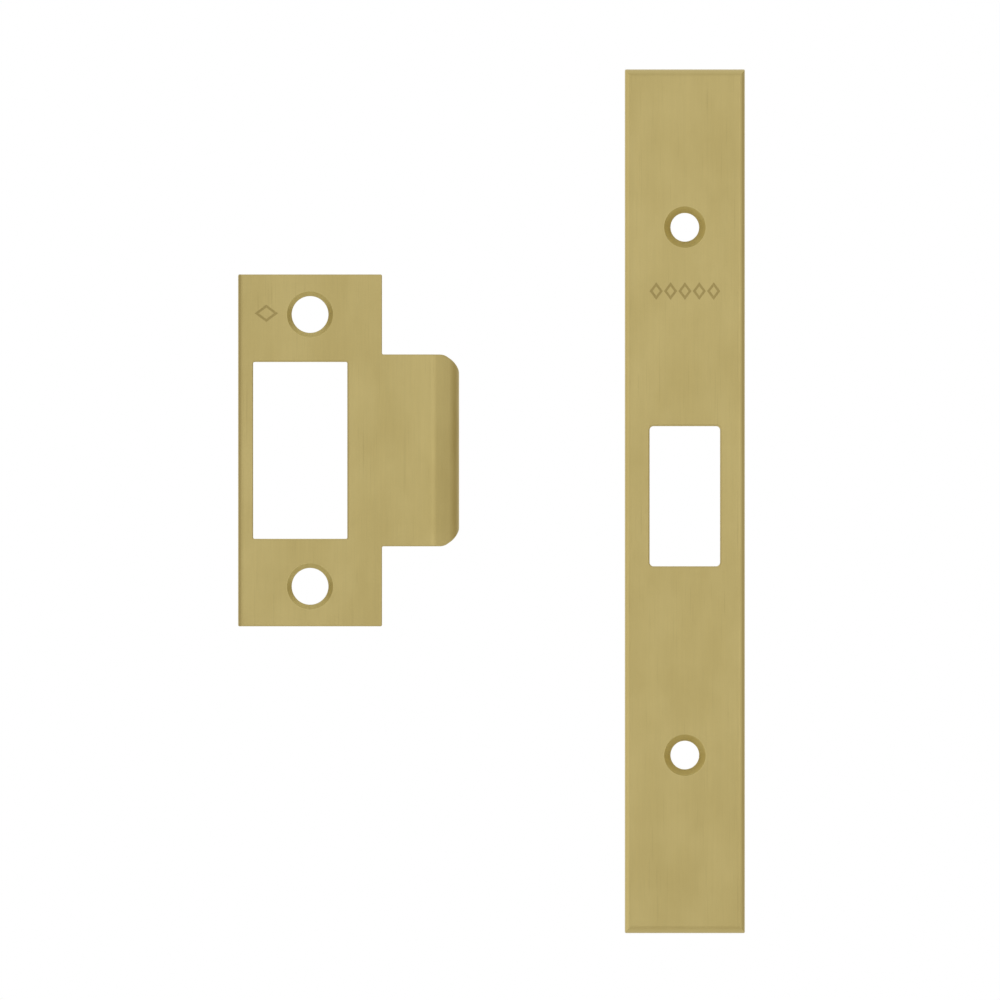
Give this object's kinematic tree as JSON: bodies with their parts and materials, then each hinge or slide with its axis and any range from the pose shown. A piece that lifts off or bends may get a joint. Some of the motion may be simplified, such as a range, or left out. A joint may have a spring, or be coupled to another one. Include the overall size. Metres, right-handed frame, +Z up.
{
  "type": "mortise lock faceplate and strike plate",
  "caption": "Flat brass lock faceplate for a door edge and a T-shaped strike plate with a curled lip for the door frame, both for countersunk screws.",
  "frame": {"origin": "centre of the faceplate's two screw holes, on its back face", "axes": "+Z up along the faceplate, +Y into the door edge and the frame behind the plates, -Y out of their faces, the strike plate on the -X side"},
  "size_m": [0.1006, 0.0058, 0.1714],
  "materials": {
    "faceplate_brass": "satin",
    "strike_brass": "satin"
  },
  "bodies": {
    "faceplate": {"faceplate": "faceplate_brass"},
    "strike_plate": {"strike_plate": "strike_brass"}
  },
  "joints": [
    {"name": "strike_lift_off", "type": "slide", "parent": "faceplate", "child": "strike_plate", "axis": [0, -1, 0], "range_m": [0, 0.06]}
  ]
}
